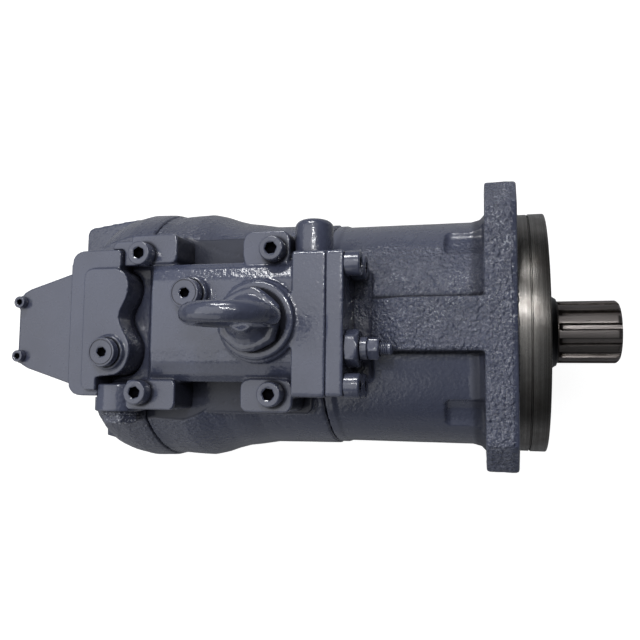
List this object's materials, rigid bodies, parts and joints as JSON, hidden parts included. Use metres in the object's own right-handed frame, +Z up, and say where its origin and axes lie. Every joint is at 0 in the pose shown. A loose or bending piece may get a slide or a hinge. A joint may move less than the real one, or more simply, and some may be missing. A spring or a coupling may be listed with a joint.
{
  "type": "axial piston pump",
  "caption": "Variable axial piston pump with a square mounting flange, splined drive shaft, round casing and a screwed-on displacement regulator with lifting eye.",
  "frame": {"origin": "centre of the drive shaft's flat end face", "axes": "+X points out of the drive shaft's end along the shaft; +Z points up through the regulator and lifting eye; +Y completes the right-handed frame"},
  "size_m": [0.4343, 0.194, 0.2792],
  "materials": {
    "casing_paint": "glossy blue-grey enamel over rough cast iron",
    "fitting_paint": "the same enamel over machined screws and plugs",
    "machined_steel": "turned, lightly oiled",
    "shaft_steel": "satin, oil stained between the teeth",
    "ground_steel": "ground",
    "cast_iron": "machined casting",
    "bronze": "lapped bronze",
    "seal_rubber": "matt black"
  },
  "bodies": {
    "pump_body": {"front_casing": "casing_paint", "rear_casing": "casing_paint", "end_cover": "casing_paint", "regulator_casing": "casing_paint", "regulator_end_plate": "casing_paint", "pilot_cover": "casing_paint", "rear_cap": "casing_paint", "casing_bolt_1": "fitting_paint", "casing_bolt_2": "fitting_paint", "casing_bolt_3": "fitting_paint", "casing_bolt_4": "fitting_paint", "rear_cap_screw_1": "fitting_paint", "rear_cap_screw_2": "fitting_paint", "regulator_screw_1": "fitting_paint", "regulator_screw_2": "fitting_paint", "regulator_screw_3": "fitting_paint", "regulator_screw_4": "fitting_paint", "end_plate_screw_1": "fitting_paint", "end_plate_screw_2": "fitting_paint", "end_plate_screw_3": "fitting_paint", "end_plate_screw_4": "fitting_paint", "port_plug": "fitting_paint", "pilot_plug": "fitting_paint", "side_cap": "fitting_paint", "side_plug": "fitting_paint", "adjuster_hex": "fitting_paint", "lifting_eye": "fitting_paint", "seal_cover": "machined_steel", "front_bearing_outer": "ground_steel", "rear_bearing": "ground_steel", "spool_spring": "ground_steel", "swash_support": "cast_iron", "valve_plate": "bronze", "shaft_seal": "seal_rubber"},
    "shaft": {"drive_shaft": "shaft_steel", "front_bearing_inner": "ground_steel", "cylinder_block": "cast_iron", "barrel_spring": "ground_steel", "spherical_bush": "ground_steel", "piston_1": "ground_steel", "piston_2": "ground_steel", "piston_3": "ground_steel", "piston_4": "ground_steel", "piston_5": "ground_steel", "piston_6": "ground_steel", "piston_7": "ground_steel"},
    "swash": {"swash_plate": "cast_iron"},
    "shoes": {"retainer_plate": "ground_steel", "shoe_1": "bronze", "shoe_2": "bronze", "shoe_3": "bronze", "shoe_4": "bronze", "shoe_5": "bronze", "shoe_6": "bronze", "shoe_7": "bronze"},
    "servo": {"servo_piston": "ground_steel"},
    "pilot": {"pilot_piston": "ground_steel"},
    "valve_spool": {"spool": "ground_steel"},
    "flow_screw": {"adjusting_screw": "fitting_paint"},
    "lock_nut": {"adjuster_lock_nut": "fitting_paint"}
  },
  "joints": [
    {"name": "shaft_spin", "type": "hinge", "parent": "pump_body", "child": "shaft", "pos_m": [0, 0, 0], "axis": [1, 0, 0], "continuous": true},
    {"name": "swash_tilt", "type": "hinge", "parent": "pump_body", "child": "swash", "pos_m": [-0.2155, 0, 0], "axis": [0, -1, 0], "range_deg": [0, 15]},
    {"name": "shoe_spin", "type": "hinge", "parent": "swash", "child": "shoes", "pos_m": [-0.2155, 0, 0], "axis": [1, 0, 0], "continuous": true},
    {"name": "servo_slide", "type": "slide", "parent": "pump_body", "child": "servo", "axis": [-1, 0, 0], "range_m": [0, 0.0142]},
    {"name": "pilot_slide", "type": "slide", "parent": "pump_body", "child": "pilot", "axis": [1, 0, 0], "range_m": [0, 0.003]},
    {"name": "spool_slide", "type": "slide", "parent": "pump_body", "child": "valve_spool", "axis": [1, 0, 0], "range_m": [0, 0.003]},
    {"name": "flow_screw_travel", "type": "slide", "parent": "pump_body", "child": "flow_screw", "axis": [-1, 0, 0], "range_m": [-0.003, 0.002]},
    {"name": "lock_nut_travel", "type": "slide", "parent": "pump_body", "child": "lock_nut", "axis": [1, 0, 0], "range_m": [0, 0.004]}
  ],
  "couplings": [
    {"joint": "shoe_spin", "follows": "shaft_spin", "ratio": 1},
    {"joint": "servo_slide", "follows": "swash_tilt", "m_per_rad": 0.054},
    {"joint": "spool_slide", "follows": "pilot_slide", "ratio": 1}
  ]
}
